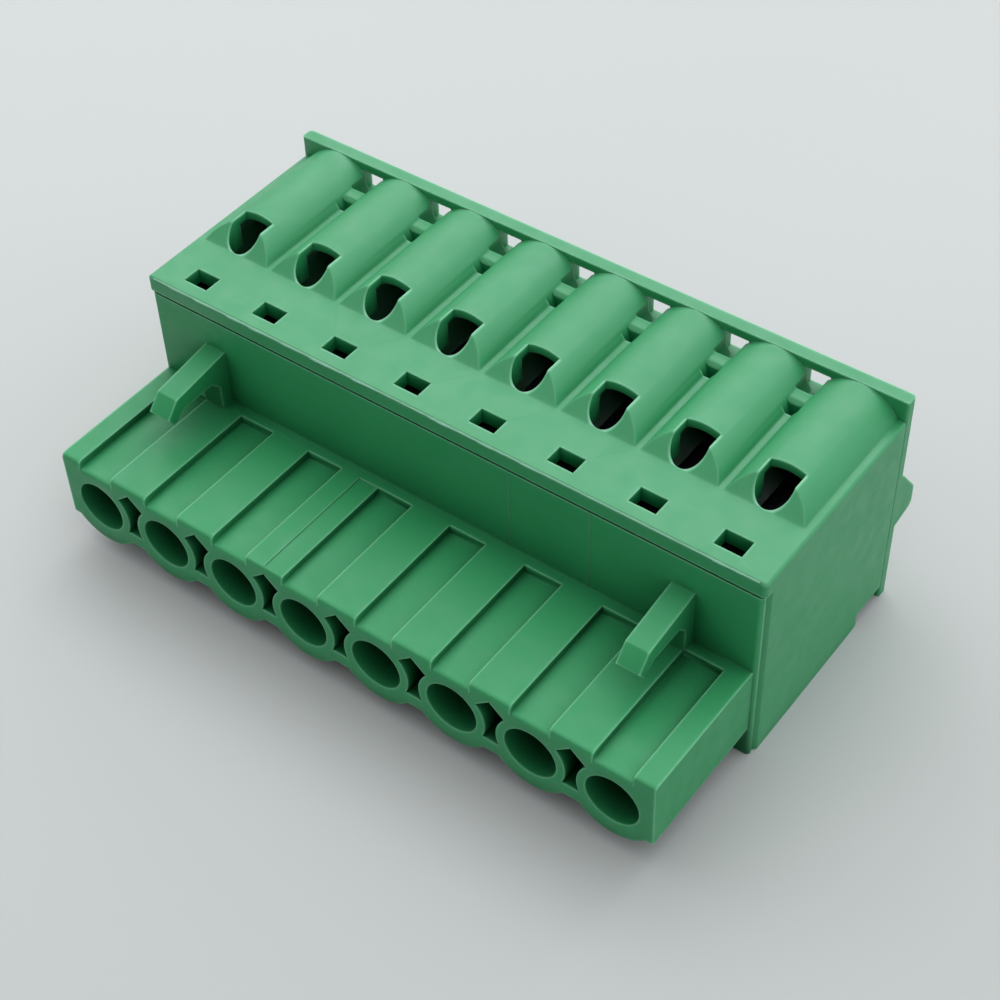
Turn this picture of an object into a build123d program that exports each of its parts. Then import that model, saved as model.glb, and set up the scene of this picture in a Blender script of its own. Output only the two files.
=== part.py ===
from build123d import *
import os
from math import radians, sqrt, tan

# Pluggable screw terminal block, plug half, in millimetres.
# X runs along the row of ways, Y from the mating face to the wiring face, Z up from the underside.
# Everything is modelled with Y = 0 on the mating face; the last step moves the origin to the
# middle of the underside.

# Row of ways
ways = 8
pitch = 5.08

# Depths, measured from the mating face towards the wiring face
mating_depth = 9.0
flange_rim = 0.3
flange_plug = 0.6
cover_lip = 0.05
cover_flat = 4.33
body_depth = 22.9
rear_plate = 0.8
bead_reach = 1.6

# Heights, measured from the underside
block_top = 6.84
socket_depth = 2.89
cover_height = 13.73
cover_wall = 0.98
well_drop = 1.33
rim_rise = 0.02
floor_height = 1.6
screw_drop = 1.2

# Widths beyond the row's own width, on each side
side_margin = 0.33
flange_margin = 0.18

# Mating block
barrel_radius = 2.7
web_height = 2.2
socket_radius = 1.65
socket_mouth = 3.0
contact_bay = 2.4
pocket_width = 2.44
pocket_depth = 0.5
pocket_length = 8.3
key_slot_wall = 0.54
key_slot_roof = 0.56
key_slot_shoulder = 1.5
key_slot_floor = 0.9
key_slot_length = 7.0
front_round = 0.3
witness_step = 0.06

# Latch hooks over the mating block
hook_width = 1.45
hook_inset = 4.375
hook_root_top = 10.6
hook_tip_top = 10.0
hook_tip_start = 4.2
hook_nose_reach = 0.85
hook_nose_height = 9.05
hook_nose_drop = 0.65
hook_nose_back = 0.45
hook_throat = 1.35
hook_under = 9.05
hook_heel = 0.8
hook_heel_slope = 0.6

# Screw wells and the openings in the cover
well_outer_radius = 2.7
well_inner_radius = 2.15
facet_run = 1.37
arch_setback = 1.67
window_width = 2.08
window_length = 2.29
probe_width = 1.67
probe_length = 1.2
probe_setback = 1.49
edge_break = 0.25

# Bridges between the wells, at the wiring end of each valley
bridge_setback = 2.3
bridge_length = 0.95
bridge_rise = 0.42
bridge_width = 1.2
bridge_foot = 0.6
bridge_bevel = 0.25
pit_width = 0.5
pit_length = 0.65
pit_slope = 0.23
pit_depth = 0.63
rear_pit_width = 1.2
relief_length = 2.7
relief_height = 1.0

# Rear cover
fit_gap = 0.1
sliding_gap = 0.05
seam_gap = 0.1
lip_gap = 0.2
seam_break = 0.08
rear_plug = 0.5
driver_radius = 1.85
seat_drop = 2.9
wire_width = 3.4
wire_height = 2.6
wire_centre = 3.6
wire_taper = 22.0
rear_window_width = 1.56
rear_window_drop = 0.73
rear_window_bar = 0.57
bead_low = 5.41
bead_nose_low = 5.75
bead_nose_high = 7.6
bead_high = 9.2
bead_round = 0.45

# Clamp screw and its nut
screw_radius = 1.25
head_radius = 1.95
head_length = 1.7
slot_width = 0.6
slot_depth = 0.9
head_gap = 0.02
tip_gap = 0.35
running_gap = 0.05
nut_height = 2.8
nut_flat = 0.5
nut_side_gap = 0.2

# Clamp lever
pivot_setback = 2.6
pivot_height = 5.9
tab_size = 0.8
notch_half = 0.6
lower_arm_height = 1.6
arm_thickness = 0.8
arm_top_margin = 0.45
nut_gap = 0.05
fork_gap = 0.1
fork_depth = 1.5
shoulder_height = 1.45
nose_reach = 5.3
nose_drop = 0.4
nose_radius = 0.5

# Contact with its clamp frame
metal = 0.6
cheek_thickness = 0.4
cheek_half = 1.2
cheek_top = 0.7
frame_wall = 0.7
frame_rise = 0.5
frame_setback = 2.1
cage_half = 1.05
cage_wall = 0.3
cage_length = 5.5
contact_setback = 0.1
spring_thickness = 0.22
spring_width = 1.1
spring_gap = 0.9
spring_tip = 1.0
spring_root = 1.0
tail_width = 1.8
bar_setback = 1.0
slot_clearance = 0.1

# Worked-out places
row_half = ways * pitch / 2
side = row_half + side_margin
flange_half = row_half + flange_margin
housing_front = mating_depth + flange_rim + seam_gap
plug_end = housing_front + flange_plug
chamber_front = plug_end + sliding_gap
cover_underside = cover_height - cover_wall
socket_height = block_top - socket_depth
well_height = cover_height - well_drop
screw_height = well_height - screw_drop
facet_start = mating_depth + cover_flat
arch_start = facet_start + arch_setback
window_end = facet_start + window_length
probe_centre = mating_depth + probe_setback
crest = well_height + well_outer_radius
rim_height = crest + rim_rise
bridge_start = body_depth - bridge_setback
bridge_height = cover_height + bridge_rise
pit_floor = cover_height - pit_depth
relief_start = body_depth - relief_length
rear_window_low = cover_height - rear_window_drop
rear_window_high = rim_height - rear_window_bar
seat_top = screw_height - seat_drop
rear_face = body_depth + rear_plate
total_depth = rear_face + bead_reach
plug_half = well_inner_radius - fit_gap
frame_top = well_height + frame_rise
frame_end = body_depth - frame_setback
frame_start = frame_end - frame_wall
head_start = frame_end + head_gap
screw_tip = plug_end + tip_gap
pivot_depth = plug_end + pivot_setback
bar_start = plug_end + bar_setback
nut_radius = nut_height / 2
nut_centre = pivot_depth - arm_thickness / 2 - nut_gap - nut_radius
cage_front = socket_mouth + contact_setback
cheek_outer = plug_half
cheek_inner = cheek_outer - cheek_thickness
hub_half = cheek_inner - running_gap

way_x = [(i - (ways - 1) / 2) * pitch for i in range(ways)]
between_x = [(k - ways / 2) * pitch for k in range(1, ways)]
hook_x = [-(row_half - hook_inset), row_half - hook_inset]


def block(x0, x1, y0, y1, z0, z1):
    """Box between two corners."""
    middle = Pos((x0 + x1) / 2, (y0 + y1) / 2, (z0 + z1) / 2)
    return middle * Box(x1 - x0, y1 - y0, z1 - z0)


def bar_y(radius, x, z, y0, y1):
    """Round bar or hole along Y."""
    return Pos(x, (y0 + y1) / 2, z) * Rot(90, 0, 0) * Cylinder(radius, y1 - y0)


def side_profile(sketch, x0, x1):
    """Profile drawn in (Y, Z), drawn out along X."""
    return Pos(x0, 0, 0) * extrude(Plane.YZ * sketch, amount=x1 - x0)


def end_profile(sketch, y0, y1):
    """Profile drawn in (X, Z), drawn out along Y."""
    return Pos(0, y1, 0) * extrude(Plane.XZ * sketch, amount=y1 - y0)


def outline(*points):
    """Closed straight-sided outline."""
    return make_face(Polyline(*points, close=True))


def arch(half, foot, x=0):
    """Upright slot outline with a round top that is centred on the well."""
    upright = Pos(x, (foot + well_height) / 2) * Rectangle(2 * half, well_height - foot)
    return upright + Pos(x, well_height) * Circle(half)


def front_edge(top, x0, x1):
    """Cut that rounds the front edge of a face at height top."""
    bulge = front_round * (1 - 1 / sqrt(2))
    edge = outline((0, top - front_round), (0, top), (front_round, top), (bulge, top - bulge))
    return side_profile(edge, x0, x1)


def key_slot(x):
    """Coding slot between two sockets: a roof above, and waists that follow the sockets' walls."""
    wall = socket_radius + key_slot_wall
    half = pitch / 2
    high = socket_height + key_slot_shoulder
    low = socket_height - key_slot_floor
    apex = block_top - key_slot_roof
    shoulder = half - sqrt(wall ** 2 - key_slot_shoulder ** 2)
    foot = half - sqrt(wall ** 2 - key_slot_floor ** 2)
    waist = half - wall
    right = ThreePointArc((shoulder, high), (waist, socket_height), (foot, low))
    left = ThreePointArc((-foot, low), (-waist, socket_height), (-shoulder, high))
    roof = Polyline((-shoulder, high), (0, apex), (shoulder, high))
    floor = Line((foot, low), (-foot, low))
    return Pos(x, 0) * make_face(Curve() + [roof, right, floor, left])


def mating_block():
    """Block of socket barrels with ribs, coding pockets and coding slots."""
    middle = (web_height + block_top) / 2
    section = Pos(0, middle) * Rectangle(2 * row_half, block_top - web_height)
    section += [Pos(x, socket_height) * Circle(barrel_radius) for x in way_x]
    section &= Pos(0, block_top / 2) * Rectangle(2 * row_half, block_top)
    body = end_profile(section, 0, mating_depth)
    body -= front_edge(block_top, -row_half, row_half)
    floor = block_top - pocket_depth
    half = pocket_width / 2
    pockets = [block(x - half, x + half, 0, pocket_length, floor, block_top) for x in way_x]
    pockets += [front_edge(floor, x - half, x + half) for x in way_x]
    rib_half = (pitch - pocket_width) / 2
    centre_rib = between_x[ways // 2 - 2]
    step = block(centre_rib, centre_rib + rib_half, 0, pocket_length, block_top - witness_step, block_top)
    slots = [end_profile(key_slot(x), 0, key_slot_length) for x in between_x]
    return body - (pockets + slots + [step])


def hook(x):
    """Latch hook: a tapering arm with a nose that drops behind the header's edge."""
    tip = mating_depth - hook_tip_start
    nose = tip - hook_nose_reach
    catch = nose + hook_nose_back
    profile = outline(
        (mating_depth, hook_root_top),
        (tip, hook_tip_top),
        (nose, hook_nose_height),
        (catch, hook_nose_height - hook_nose_drop),
        (nose + hook_throat, hook_under),
        (mating_depth - hook_heel - hook_heel_slope, hook_under),
        (mating_depth - hook_heel, hook_under - hook_heel_slope),
        (mating_depth - hook_heel, block_top),
        (mating_depth, block_top),
    )
    return side_profile(profile, x - hook_width / 2, x + hook_width / 2)


def front_body():
    """Front moulding: mating block, flange plate, latch hooks and the plug that seats in the housing."""
    rim_back = mating_depth + flange_rim
    rim = block(-flange_half, flange_half, mating_depth, rim_back, 0, cover_underside - lip_gap)
    rim = fillet(rim.edges().filter_by(Axis.Z).group_by(Axis.Y)[0], flange_rim * 0.8)
    seat = way_x[-1] + plug_half
    plug = block(-seat, seat, rim_back, plug_end, floor_height + fit_gap, cover_underside - fit_gap)
    body = mating_block() + rim + plug
    body += [hook(x) for x in hook_x]
    holes = []
    bay = contact_bay / 2
    for x in way_x:
        holes.append(bar_y(socket_radius, x, socket_height, 0, socket_mouth))
        holes.append(block(x - bay, x + bay, socket_mouth, plug_end, socket_height - bay, socket_height + bay))
    return body - holes


def well_roofs():
    """Row of half-round roofs over the screw wells, with their front ends sloped down to the cover."""
    foot = cover_underside
    section = Sketch() + [Pos(x, well_height) * Circle(well_outer_radius) for x in way_x]
    section &= Pos(0, (foot + crest) / 2) * Rectangle(2 * side, crest - foot)
    envelope = outline(
        (facet_start, foot),
        (facet_start, cover_height),
        (facet_start + facet_run, crest),
        (body_depth, crest),
        (body_depth, foot),
    )
    return end_profile(section, facet_start, body_depth) & side_profile(envelope, -side, side)


def d_window(x):
    """D-shaped hole in the front slope of a well."""
    half = window_width / 2
    straight = window_end - facet_start - half
    flat = Pos(x, window_end - straight / 2) * Rectangle(window_width, straight)
    shape = flat + Pos(x, window_end - straight) * Circle(half)
    return Pos(0, 0, cover_underside - fit_gap) * extrude(shape, amount=crest - cover_underside + 1)


def valley(x):
    """Two pits between neighbouring wells, and the bridge that separates them."""
    bridge_end = bridge_start + bridge_length
    low = pit_width / 2
    wide = low + pit_slope * (crest - pit_floor)
    section = outline((x - low, pit_floor), (x + low, pit_floor), (x + wide, crest), (x - wide, crest))
    pits = [end_profile(section, bridge_start - pit_length, bridge_start)]
    rear = rear_pit_width / 2
    stepped = outline(
        (x - low, pit_floor),
        (x + low, pit_floor),
        (x + rear, cover_height),
        (x + rear, crest),
        (x - rear, crest),
        (x - rear, cover_height),
    )
    pits.append(end_profile(stepped, bridge_end, body_depth))
    foot = bridge_foot / 2
    half = bridge_width / 2
    bridge = end_profile(outline(
        (x - foot, pit_floor),
        (x + foot, pit_floor),
        (x + half, bridge_height),
        (x - half, bridge_height),
    ), bridge_start, bridge_end)
    front_top = bridge.edges().filter_by(Axis.X).group_by(Axis.Z)[-1].sort_by(Axis.Y)[0]
    return chamfer(front_top, bridge_bevel), pits


def housing():
    """Main moulding: cover, side walls, screw wells and the chambers that hold the clamps."""
    shell = block(-side, side, housing_front, body_depth, 0, cover_height)
    shell = chamfer(shell.edges().filter_by(Axis.Z).group_by(Axis.Y)[0], edge_break)
    shell = chamfer(shell.edges().filter_by(Axis.Z).group_by(Axis.Y)[-1], seam_break)
    lip = block(-side, side, mating_depth - cover_lip, housing_front + edge_break, cover_underside, cover_height)
    lip = fillet(lip.edges().filter_by(Axis.Z).group_by(Axis.Y)[0], edge_break)
    shell += lip
    long_edges = shell.edges().filter_by(Axis.Y).group_by(Axis.Z)[-1]
    shell = chamfer(long_edges, edge_break / 2) + well_roofs()
    seat = way_x[-1] + well_inner_radius
    cuts = [block(-seat, seat, housing_front, chamber_front, floor_height, cover_underside)]
    cuts.append(block(-side, side, relief_start, body_depth, 0, relief_height))
    for x in way_x:
        low = block(x - well_inner_radius, x + well_inner_radius, chamber_front, arch_start,
                    floor_height, cover_underside)
        cuts += [low, end_profile(arch(well_inner_radius, floor_height, x), arch_start, body_depth)]
        cuts.append(d_window(x))
        cuts.append(block(x - probe_width / 2, x + probe_width / 2, probe_centre - probe_length / 2,
                          probe_centre + probe_length / 2, cover_underside, cover_height))
    bridges = []
    for x in between_x:
        bridge, pits = valley(x)
        bridges.append(bridge)
        cuts += pits
    return shell - cuts + bridges


def bead():
    """Pull ledge across the wiring face, with a long top slope, a round nose and a steep underside."""
    profile = outline(
        (rear_face - rear_plate / 2, bead_low),
        (rear_face, bead_low),
        (total_depth, bead_nose_low),
        (total_depth, bead_nose_high - bead_round),
        (rear_face, bead_high),
        (rear_face - rear_plate / 2, bead_high),
    )
    corners = profile.vertices().group_by(Axis.X)[-1]
    return side_profile(fillet(corners, bead_round), -side, side)


def wire_mouth(x):
    """Funnel for one conductor, narrowing from the wiring face to the clamp chamber."""
    straight = block(x - wire_width / 2, x + wire_width / 2, body_depth - rear_plug, body_depth,
                     wire_centre - wire_height / 2, wire_centre + wire_height / 2)
    flare = rear_plate * tan(radians(wire_taper))
    wide = wire_width / 2
    high = wire_height / 2
    plan = outline(
        (x - wide, body_depth),
        (x + wide, body_depth),
        (x + wide + flare, rear_face),
        (x - wide - flare, rear_face),
    )
    rise = outline(
        (body_depth, wire_centre - high),
        (rear_face, wire_centre - high - flare),
        (rear_face, wire_centre + high + flare),
        (body_depth, wire_centre + high),
    )
    across = Pos(0, 0, wire_centre - wire_height) * extrude(plan, amount=2 * wire_height)
    funnel = across & side_profile(rise, x - wire_width, x + wire_width)
    return straight + funnel


def rear_cover():
    """Rear plate with driver holes, wire funnels, pull ledge, top rim and a plug for each chamber."""
    body = block(-side, side, body_depth, rear_face, 0, rim_height)
    body = fillet(body.edges().filter_by(Axis.Z).group_by(Axis.Y)[-1], edge_break)
    body = chamfer(body.edges().filter_by(Axis.Z).group_by(Axis.Y)[0], seam_break) + bead()
    seat_low = floor_height + fit_gap
    body += [
        block(x - plug_half, x + plug_half, body_depth - rear_plug, body_depth, seat_low, seat_top)
        for x in way_x
    ]
    holes = []
    for x in way_x:
        holes.append(bar_y(driver_radius, x, screw_height, body_depth, rear_face))
        holes.append(wire_mouth(x))
    for x in between_x:
        holes.append(block(x - rear_window_width / 2, x + rear_window_width / 2, body_depth, rear_face,
                           rear_window_low, rear_window_high))
    return body - holes


def clamp_screw(x):
    """Slotted clamp screw, held endways between the clamp frame and the rear cover."""
    head_end = head_start + head_length
    shank = bar_y(screw_radius, x, screw_height, screw_tip, head_start)
    head = bar_y(head_radius, x, screw_height, head_start, head_end)
    slot = block(x - slot_width / 2, x + slot_width / 2, head_end - slot_depth, head_end,
                 screw_height - head_radius, screw_height + head_radius)
    return shank + head - slot


def clamp_nut(x):
    """Nut that can't turn in the chamber; its blunt back pulls the lever."""
    half = well_inner_radius - nut_side_gap
    slant = nut_radius / sqrt(2)
    profile = outline(
        (nut_centre - nut_flat, screw_height - nut_radius),
        (nut_centre, screw_height - nut_radius),
        (nut_centre + slant, screw_height - slant),
        (nut_centre + nut_radius, screw_height),
        (nut_centre + slant, screw_height + slant),
        (nut_centre, screw_height + nut_radius),
        (nut_centre - nut_flat, screw_height + nut_radius),
    )
    body = side_profile(profile, x - half, x + half)
    return body - bar_y(screw_radius + running_gap, x, screw_height, nut_centre - nut_height,
                        nut_centre + nut_height)


def clamp_lever(x):
    """Stamped bell-crank lever: a fork behind the nut, two tabs it rocks on, and an arm that presses the wire."""
    top = screw_height + arm_top_margin
    upper_low = pivot_height + shoulder_height
    half = arm_thickness / 2
    wide = plug_half - sliding_gap
    fork = block(x - wide, x + wide, pivot_depth - half, pivot_depth + half, upper_low, top)
    gap_half = screw_radius + fork_gap
    fork -= block(x - gap_half, x + gap_half, pivot_depth - half, pivot_depth + half,
                  screw_height - fork_depth, top)
    neck = block(x - hub_half, x + hub_half, pivot_depth - half, pivot_depth + half, pivot_height, upper_low)
    tab = tab_size / 2
    tabs = block(x - wide, x + wide, pivot_depth - tab, pivot_depth + tab, pivot_height - tab, pivot_height + tab)
    root = pivot_depth - notch_half
    root_half = lower_arm_height / 2
    nose_end = pivot_depth + nose_reach + nose_radius
    nose_z = pivot_height - nose_drop
    arm = side_profile(outline(
        (root, pivot_height - root_half),
        (nose_end - nose_radius, nose_z - nose_radius),
        (nose_end, nose_z - nose_radius / 2),
        (nose_end, nose_z + nose_radius / 2),
        (nose_end - nose_radius, nose_z + nose_radius),
        (root, pivot_height + root_half),
    ), x - hub_half, x + hub_half)
    return fork + neck + tabs + arm


def cheek(x0, x1):
    """Upright ear of the clamp frame, with an open notch for one of the lever's tabs."""
    fit = notch_half
    top = pivot_height + cheek_top
    return side_profile(outline(
        (pivot_depth - cheek_half, floor_height),
        (pivot_depth - cheek_half, top),
        (pivot_depth - fit, top),
        (pivot_depth - fit, pivot_height - fit),
        (pivot_depth + fit, pivot_height - fit),
        (pivot_depth + fit, top),
        (pivot_depth + cheek_half, top),
        (pivot_depth + cheek_half, floor_height),
    ), x0, x1)


def contact(x):
    """Socket contact and clamp frame, stamped as one strip: cage, tail, current bar, cheeks and end wall."""
    cage_end = cage_front + cage_length
    low = socket_height - cage_half
    cage = block(x - cage_half, x + cage_half, cage_front, cage_end, low, socket_height + cage_half)
    inner = cage_half - cage_wall
    cage -= block(x - inner, x + inner, cage_front, cage_end, socket_height - inner, socket_height + inner)
    springs = []
    for way in (1, -1):
        rest = socket_height + way * inner
        touch = socket_height + way * spring_gap / 2
        thick = way * spring_thickness
        leaf = outline(
            (cage_end, rest),
            (cage_end, rest - thick),
            (cage_front + spring_tip, touch),
            (cage_front + spring_tip, touch + thick),
            (cage_end - spring_root, rest),
        )
        springs.append(side_profile(leaf, x - spring_width / 2, x + spring_width / 2))
    bar_top = floor_height + metal
    tail = outline(
        (cage_end - metal, low),
        (plug_end + fit_gap, low),
        (bar_start, floor_height),
        (bar_start, bar_top),
        (plug_end + metal, low + cage_wall),
        (cage_end - metal, low + cage_wall),
    )
    body = cage + springs + side_profile(tail, x - tail_width / 2, x + tail_width / 2)
    body += block(x - cheek_outer, x + cheek_outer, bar_start, frame_end, floor_height, bar_top)
    body += [cheek(x + cheek_inner, x + cheek_outer), cheek(x - cheek_outer, x - cheek_inner)]
    shoulder = sqrt(cheek_outer ** 2 - (frame_top - well_height) ** 2) - fit_gap
    wall = end_profile(outline(
        (x - cheek_outer, floor_height),
        (x + cheek_outer, floor_height),
        (x + cheek_outer, well_height),
        (x + shoulder, frame_top),
        (x - shoulder, frame_top),
        (x - cheek_outer, well_height),
    ), frame_start, frame_end)
    wall -= block(x - cheek_inner, x + cheek_inner, frame_start, frame_end, bar_top, seat_top)
    slot = screw_radius + slot_clearance
    wall -= block(x - slot, x + slot, frame_start, frame_end, screw_height - slot, frame_top)
    return body + wall


def save(name, shape):
    """Write one piece, with the origin moved to the middle of the underside."""
    export_step(Pos(0, -total_depth / 2, 0) * shape, f"parts/{name}.step")


os.makedirs("parts", exist_ok=True)
save("front_body", front_body())
save("housing", housing())
save("rear_cover", rear_cover())
for number, x in enumerate(way_x, start=1):
    save(f"contact_{number}", contact(x))
    save(f"clamp_lever_{number}", clamp_lever(x))
    save(f"clamp_nut_{number}", clamp_nut(x))
    save(f"clamp_screw_{number}", clamp_screw(x))
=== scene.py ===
import random
import bpy
from mathutils import Matrix, Vector


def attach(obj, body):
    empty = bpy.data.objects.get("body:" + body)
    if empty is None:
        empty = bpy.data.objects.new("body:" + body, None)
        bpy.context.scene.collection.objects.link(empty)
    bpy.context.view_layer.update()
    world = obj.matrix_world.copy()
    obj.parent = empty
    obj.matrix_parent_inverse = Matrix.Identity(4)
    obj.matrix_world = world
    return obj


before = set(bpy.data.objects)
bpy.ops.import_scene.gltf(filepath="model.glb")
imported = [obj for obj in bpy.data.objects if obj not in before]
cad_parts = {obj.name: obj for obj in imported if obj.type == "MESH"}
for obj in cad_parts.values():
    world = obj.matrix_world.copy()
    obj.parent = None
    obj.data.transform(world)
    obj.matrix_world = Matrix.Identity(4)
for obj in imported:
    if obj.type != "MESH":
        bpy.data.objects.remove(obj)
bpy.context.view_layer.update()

MM = 0.001

# ---------------------------------------------------------------- camera
LENS = 73.447
SENSOR = 36.0
CAMERA_AT = Vector((50.90, -63.27, 88.17)) * MM
CAMERA_RIGHT = Vector((0.80369, 0.59451, -0.02534))
CAMERA_UP = Vector((-0.41320, 0.58820, 0.69520))
CAMERA_BACK = Vector((0.42819, -0.54823, 0.71840))
CLIP_START, CLIP_END = 0.001, 10.0


def add_camera():
    data = bpy.data.cameras.new("camera")
    data.lens = LENS
    data.sensor_width = SENSOR
    data.clip_start = CLIP_START
    data.clip_end = CLIP_END
    camera = bpy.data.objects.new("camera", data)
    bpy.context.scene.collection.objects.link(camera)
    turn = Matrix((CAMERA_RIGHT, CAMERA_UP, CAMERA_BACK)).transposed()
    camera.matrix_world = Matrix.Translation(CAMERA_AT) @ turn.to_4x4()
    bpy.context.scene.camera = camera


# ---------------------------------------------------------------- shader nodes
def new_material(name):
    material = bpy.data.materials.new(name)
    material.use_nodes = True
    tree = material.node_tree
    tree.nodes.clear()
    out = tree.nodes.new("ShaderNodeOutputMaterial")
    shader = tree.nodes.new("ShaderNodeBsdfPrincipled")
    tree.links.new(shader.outputs["BSDF"], out.inputs["Surface"])
    return material, tree, shader


def object_coords(tree):
    return tree.nodes.new("ShaderNodeTexCoord").outputs["Object"]


def noise(tree, coords, scale, detail, rough):
    node = tree.nodes.new("ShaderNodeTexNoise")
    node.inputs["Scale"].default_value = scale
    node.inputs["Detail"].default_value = detail
    node.inputs["Roughness"].default_value = rough
    tree.links.new(coords, node.inputs["Vector"])
    return node.outputs["Fac"]


def remap(tree, value, low, high, start=0.0, end=1.0, smooth=False):
    """Turn values from low to high into values from start to end, held beyond both ends."""
    node = tree.nodes.new("ShaderNodeMapRange")
    if smooth:
        node.interpolation_type = "SMOOTHSTEP"
    limits = {"From Min": low, "From Max": high, "To Min": start, "To Max": end}
    for name, number in limits.items():
        node.inputs[name].default_value = number
    tree.links.new(value, node.inputs["Value"])
    return node.outputs["Result"]


NOISE_LOW, NOISE_HIGH = 0.3, 0.7


def spread(tree, value, start=0.0, end=1.0):
    """Stretch a noise, whose values crowd round a half, over the range from start to end."""
    return remap(tree, value, NOISE_LOW, NOISE_HIGH, start, end)


def blend(tree, factor, first, second):
    """Mix of two colours; each is a socket or plain numbers."""
    mix = tree.nodes.new("ShaderNodeMix")
    mix.data_type = "RGBA"
    tree.links.new(factor, mix.inputs["Factor"])
    for socket, value in ((mix.inputs["A"], first), (mix.inputs["B"], second)):
        if isinstance(value, tuple):
            socket.default_value = (*value, 1.0)
        else:
            tree.links.new(value, socket)
    return mix.outputs["Result"]


def along(tree, vector, direction):
    """Dot product of a vector and a fixed direction."""
    node = tree.nodes.new("ShaderNodeVectorMath")
    node.operation = "DOT_PRODUCT"
    tree.links.new(vector, node.inputs[0])
    node.inputs[1].default_value = direction
    return node.outputs["Value"]


def plus(tree, first, second):
    """Sum of a socket and of a socket or a plain number."""
    node = tree.nodes.new("ShaderNodeMath")
    node.operation = "ADD"
    tree.links.new(first, node.inputs[0])
    if isinstance(second, float):
        node.inputs[1].default_value = second
    else:
        tree.links.new(second, node.inputs[1])
    return node.outputs["Value"]


NEARNESS_SAMPLES = 6


def nearness(tree, inside, reach, low, high):
    """One where other faces stand within reach, nothing in the open.

    Looking inside, through the solid, it finds thin places and outer edges.
    """
    node = tree.nodes.new("ShaderNodeAmbientOcclusion")
    node.samples = NEARNESS_SAMPLES
    node.inside = inside
    node.only_local = inside
    node.inputs["Distance"].default_value = reach * MM
    return remap(tree, node.outputs["AO"], low, high, 1.0, 0.0)


RELIEF_DEPTH = 0.02


def relief(tree, height, strength):
    """Bump node for a fine relief of the surface."""
    node = tree.nodes.new("ShaderNodeBump")
    node.inputs["Strength"].default_value = strength
    node.inputs["Distance"].default_value = RELIEF_DEPTH * MM
    tree.links.new(height, node.inputs["Height"])
    return node


# ---------------------------------------------------------------- materials
# Noises: scale, detail and roughness of the detail.
CLOUDS = (160.0, 3.0, 0.5)
GLOSS_PATCHES = (900.0, 4.0, 0.5)
GRAIN = (6500.0, 5.0, 0.6)
DRAWN_MARKS = (700.0, 6.0, 0.65)
FLOOR_PATCHES = (12.0, 2.0, 0.5)

PLASTIC_FAINT, PLASTIC_FULL = (0.019, 0.255, 0.085), (0.022, 0.275, 0.093)
PLASTIC_ROUGHNESS = (0.43, 0.57)
PLASTIC_TINT = (0.85, 0.82, 0.95, 1.0)
# Painted highlight: pale green laid on outer edges and thin places.
EDGE_HIGHLIGHT_GREEN = (0.22, 0.6, 0.35)
EDGE_HIGHLIGHT_REACH, EDGE_HIGHLIGHT_LOW, EDGE_HIGHLIGHT_HIGH = 0.18, 0.4, 0.85
MILKY_SHARE, MILKY_RADIUS, MILKY_DEPTH = 0.2, (0.4, 1.0, 0.5), 0.8
EDGE_SOFTNESS, EDGE_SAMPLES = 0.18, 3
GRAIN_STRENGTH = 0.12


def moulded_plastic(name, shine, reach, low, high, shade):
    """Satin moulded polyamide: faint cloudy colour, spark-eroded grain, painted pale highlights on
    outer edges.

    Where other faces crowd within reach, its colour is painted towards shade and its shine is
    taken away: painted shade in recesses, holes and corners.
    """
    material, tree, shader = new_material(name)
    coords = object_coords(tree)
    clouds = spread(tree, noise(tree, coords, *CLOUDS))
    body = blend(tree, clouds, PLASTIC_FAINT, PLASTIC_FULL)
    # Painted highlight on outer edges and thin places.
    edges = nearness(tree, True, EDGE_HIGHLIGHT_REACH, EDGE_HIGHLIGHT_LOW, EDGE_HIGHLIGHT_HIGH)
    # Painted shade: recesses, holes and corners are darkened towards the shade colour.
    painted_shade = nearness(tree, False, reach, low, high)
    colour = blend(tree, painted_shade, blend(tree, edges, body, EDGE_HIGHLIGHT_GREEN), shade)
    tree.links.new(colour, shader.inputs["Base Color"])
    # The painted shade also takes the shine away in recesses.
    sheen = remap(tree, painted_shade, 0.0, 1.0, shine, 0.0)
    tree.links.new(sheen, shader.inputs["Specular IOR Level"])
    gloss = spread(tree, noise(tree, coords, *GLOSS_PATCHES), *PLASTIC_ROUGHNESS)
    tree.links.new(gloss, shader.inputs["Roughness"])
    shader.inputs["Specular Tint"].default_value = PLASTIC_TINT
    shader.inputs["Subsurface Weight"].default_value = MILKY_SHARE
    shader.inputs["Subsurface Radius"].default_value = MILKY_RADIUS
    shader.inputs["Subsurface Scale"].default_value = MILKY_DEPTH * MM
    soft = tree.nodes.new("ShaderNodeBevel")
    soft.samples = EDGE_SAMPLES
    soft.inputs["Radius"].default_value = EDGE_SOFTNESS * MM
    grain = relief(tree, noise(tree, coords, *GRAIN), GRAIN_STRENGTH)
    tree.links.new(soft.outputs["Normal"], grain.inputs["Normal"])
    tree.links.new(grain.outputs["Normal"], shader.inputs["Normal"])
    return material


MARKS_STRETCH = (6.0, 1.0, 6.0)
MARKS_STRENGTH = 0.2


def worked_metal(name, dark, light, roughness, tint):
    """Plated or near-black metal with fine drawing marks along the piece."""
    material, tree, shader = new_material(name)
    stretch = tree.nodes.new("ShaderNodeMapping")
    stretch.inputs["Scale"].default_value = MARKS_STRETCH
    tree.links.new(object_coords(tree), stretch.inputs["Vector"])
    marks = noise(tree, stretch.outputs["Vector"], *DRAWN_MARKS)
    tree.links.new(blend(tree, spread(tree, marks), dark, light), shader.inputs["Base Color"])
    tree.links.new(spread(tree, marks, *roughness), shader.inputs["Roughness"])
    shader.inputs["Metallic"].default_value = 1.0
    shader.inputs["Specular Tint"].default_value = (tint, tint, tint, 1.0)
    tree.links.new(relief(tree, marks, MARKS_STRENGTH).outputs["Normal"], shader.inputs["Normal"])
    return material


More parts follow.
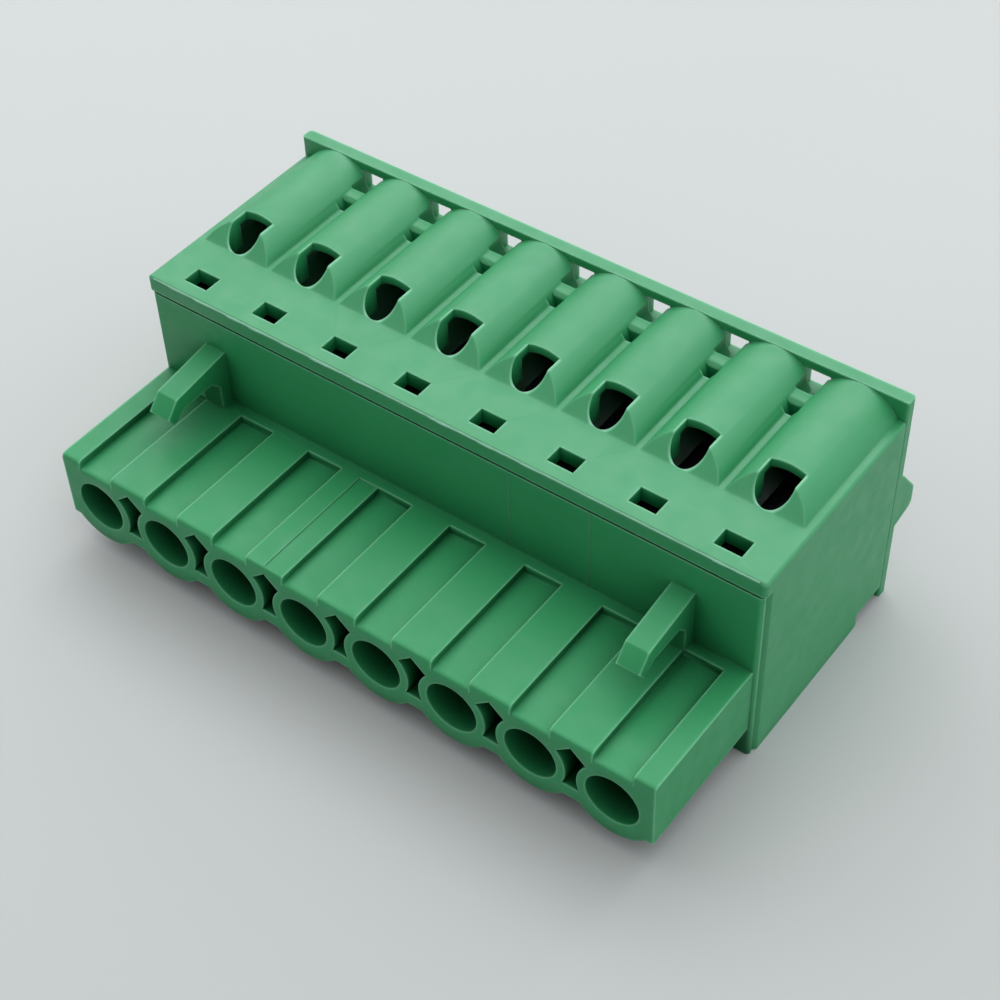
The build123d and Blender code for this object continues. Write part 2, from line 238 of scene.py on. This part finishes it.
def dress(prefix, material):
    """Give the material to every CAD node whose name begins with the prefix."""
    for name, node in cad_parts.items():
        if name.startswith(prefix):
            node.data.materials.clear()
            node.data.materials.append(material)


# The three greens differ in shine and in the reach and colour of their painted shade in recesses.
green_front = moulded_plastic(
    "green_front", shine=0.55, reach=5.0, low=0.12, high=0.75, shade=(0.001, 0.022, 0.005))
green_cover = moulded_plastic(
    "green_cover", shine=0.85, reach=2.5, low=0.1, high=0.6, shade=(0.003, 0.11, 0.033))
green_back = moulded_plastic(
    "green_back", shine=0.85, reach=1.5, low=0.1, high=0.6, shade=(0.008, 0.17, 0.055))
tin = worked_metal(
    "tinned_copper", (0.5, 0.49, 0.46), (0.68, 0.67, 0.64), roughness=(0.25, 0.45), tint=1.0)
# Near-black clamp hardware: partly a guessed blackened finish, partly painted shade, so the holes
# above it read dark.
black = worked_metal(
    "near_black_steel", (0.01, 0.01, 0.011), (0.026, 0.026, 0.028), roughness=(0.5, 0.7), tint=0.12)

dress("front_body", green_front)
dress("housing", green_cover)
dress("rear_cover", green_back)
dress("contact_", tin)
for kind in ("clamp_lever_", "clamp_nut_", "clamp_screw_"):
    dress(kind, black)

# ---------------------------------------------------------------- rounded edges
EDGE_RADIUS, EDGE_SEGMENTS = 0.06, 2
EDGE_ANGLE = 0.6
SEAM_GAP = 0.001
LARGE_FACE_WEIGHT = 80


def round_edges(name):
    """Small radii on a moulding's edges, as modifiers on the CAD node's own mesh."""
    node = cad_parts[name]
    for layer in ("custom_normal", "sharp_edge"):
        if layer in node.data.attributes:
            node.data.attributes.remove(node.data.attributes[layer])
    node.data.shade_smooth()
    join = node.modifiers.new("join", "WELD")
    join.merge_threshold = SEAM_GAP * MM
    soft = node.modifiers.new("edges", "BEVEL")
    soft.width = EDGE_RADIUS * MM
    soft.segments = EDGE_SEGMENTS
    soft.limit_method = "ANGLE"
    soft.angle_limit = EDGE_ANGLE
    soft.use_clamp_overlap = True
    soft.miter_outer = "MITER_ARC"
    shade = node.modifiers.new("shade", "WEIGHTED_NORMAL")
    shade.weight = LARGE_FACE_WEIGHT


for moulding in ("front_body", "housing", "rear_cover"):
    round_edges(moulding)


# ---------------------------------------------------------------- traces of moulding
def add_piece(name, verts, faces, material):
    mesh = bpy.data.meshes.new(name)
    mesh.from_pydata([Vector(v) * MM for v in verts], [], faces)
    mesh.materials.append(material)
    piece = bpy.data.objects.new(name, mesh)
    bpy.context.scene.collection.objects.link(piece)
    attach(piece, "plug")


PLATE_FACE = -3.65
LINE_HALF_WIDTH, LINE_RISE, LINE_ROOT = 0.045, 0.03, 0.01
LINE_LOW, LINE_HIGH = 6.85, 12.5


def witness_line(name, x):
    """Fine ridge that the mould's parting leaves on the flange plate."""
    left, right = x - LINE_HALF_WIDTH, x + LINE_HALF_WIDTH
    root, top = PLATE_FACE + LINE_ROOT, PLATE_FACE - LINE_RISE
    verts = []
    for z in (LINE_LOW, LINE_HIGH):
        verts += [(left, root, z), (x, top, z), (right, root, z)]
    faces = [(0, 1, 4, 3), (1, 2, 5, 4), (2, 0, 3, 5), (0, 2, 1), (3, 4, 5)]
    add_piece(name, verts, faces, green_front)


LIP_FRONT, LIP_TOP, LIP_END = -3.70, 13.73, 20.2
FLASH_SEED, FLASH_STEPS = 11, 420
FLASH_THICK_UNTIL, FLASH_OFTEN, FLASH_SELDOM = 2.0, 0.06, 0.02
FLASH_BUMP, FLASH_RAGGED = (0.08, 0.2), (0.0, 0.05)
FLASH_FADE, FLASH_KEPT, FLASH_DROOP = 0.8, 0.75, 0.3


def lip_flash():
    """Ragged sliver of flash along the upper front edge of the cover's lip. Being thin, it takes
    the painted edge highlight all over and shows as a pale line.
    """
    random.seed(FLASH_SEED)
    verts = []
    reach, bump = 0.0, 0.0
    for k in range(FLASH_STEPS + 1):
        x = -LIP_END + 2 * LIP_END * k / FLASH_STEPS
        if random.random() < (FLASH_OFTEN if x < FLASH_THICK_UNTIL else FLASH_SELDOM):
            bump = random.uniform(*FLASH_BUMP)
        bump *= FLASH_FADE
        fresh = random.uniform(*FLASH_RAGGED) + bump
        reach = FLASH_KEPT * reach + (1 - FLASH_KEPT) * fresh
        verts += [
            (x, LIP_FRONT + 0.08, LIP_TOP - 0.004),
            (x, LIP_FRONT - reach, LIP_TOP - 0.02 - FLASH_DROOP * reach),
            (x, LIP_FRONT + 0.02, LIP_TOP - 0.09),
        ]
    last = 3 * FLASH_STEPS
    faces = [(2, 1, 0), (last, last + 1, last + 2)]
    for k in range(FLASH_STEPS):
        a, b = 3 * k, 3 * k + 3
        faces += [(a + j, a + (j + 1) % 3, b + (j + 1) % 3, b + j) for j in range(3)]
    add_piece("lip_flash", verts, faces, green_cover)


witness_line("witness_line_a", 4.9)
witness_line("witness_line_b", 10.1)
lip_flash()

# ---------------------------------------------------------------- studio
FLOOR_HALF = 0.9
FLOOR_FAINT, FLOOR_FULL = (0.475, 0.483, 0.479), (0.490, 0.498, 0.494)
# Painted shade on the floor: darker tone on the side of the plug's front.
FLOOR_PAINTED_SHADE = (0.415, 0.424, 0.421)
FLOOR_AWAY, FLOOR_FAR_AT, FLOOR_NEAR_AT = (-0.62, 0.78, 0.0), 0.04, -0.05
FLOOR_ROUGHNESS = 0.7


def add_floor():
    """Pale floor with painted shade: its tone falls a little on the side of the plug's front,
    standing in for the light's fall-off and the soft shadow there.
    """
    side = FLOOR_HALF
    corners = [(-side, -side, 0), (side, -side, 0), (side, side, 0), (-side, side, 0)]
    mesh = bpy.data.meshes.new("floor")
    mesh.from_pydata(corners, [], [(0, 1, 2, 3)])
    floor = bpy.data.objects.new("floor", mesh)
    bpy.context.scene.collection.objects.link(floor)
    material, tree, shader = new_material("pale_floor")
    coords = object_coords(tree)
    patches = spread(tree, noise(tree, coords, *FLOOR_PATCHES))
    paper = blend(tree, patches, FLOOR_FAINT, FLOOR_FULL)
    # Painted shade: the floor is darkened towards the plug's front side.
    painted_falloff = remap(tree, along(tree, coords, FLOOR_AWAY), FLOOR_FAR_AT, FLOOR_NEAR_AT, smooth=True)
    tree.links.new(blend(tree, painted_falloff, paper, FLOOR_PAINTED_SHADE), shader.inputs["Base Color"])
    shader.inputs["Roughness"].default_value = FLOOR_ROUGHNESS
    mesh.materials.append(material)


def add_light(name, place, width, depth, power):
    """Rectangular soft light aimed at the middle of the floor."""
    data = bpy.data.lights.new(name, "AREA")
    data.shape = "RECTANGLE"
    data.size = width
    data.size_y = depth
    data.energy = power
    light = bpy.data.objects.new(name, data)
    light.location = place
    light.rotation_mode = "QUATERNION"
    light.rotation_quaternion = (-Vector(place)).to_track_quat("-Z", "Y")
    bpy.context.scene.collection.objects.link(light)


ROOM_COLOUR, ROOM_STRENGTH = (0.86, 0.93, 0.95, 1.0), 0.16
SWEEP = {"direction": (-0.72, 0.66, 0.2), "low": 0.1, "high": 0.8, "strength": 0.8}
WALL = {"direction": (0.9, 0.4, 0.2), "low": 0.0, "high": 0.8, "strength": 0.9}


def glow(tree, ray, direction, low, high, strength):
    """Part of the room that gives light, brightest in the stated direction."""
    return remap(tree, along(tree, ray, direction), low, high, 0.0, strength, smooth=True)


def add_world():
    """Dim room with a white sweep behind and to the left, and a paler wall on the right."""
    world = bpy.data.worlds.new("studio")
    bpy.context.scene.world = world
    world.use_nodes = True
    tree = world.node_tree
    back = tree.nodes["Background"]
    back.inputs["Color"].default_value = ROOM_COLOUR
    ray = tree.nodes.new("ShaderNodeTexCoord").outputs["Generated"]
    lit = plus(tree, glow(tree, ray, **SWEEP), glow(tree, ray, **WALL))
    tree.links.new(plus(tree, lit, ROOM_STRENGTH), back.inputs["Strength"])


add_floor()
add_world()
add_light("softbox_behind", place=(-0.22, 0.46, 0.46), width=0.9, depth=0.4, power=1.75)
add_light("softbox_above", place=(-0.08, -0.05, 0.55), width=1.1, depth=1.1, power=3.8)
add_camera()

bpy.context.scene.view_settings.view_transform = "Standard"
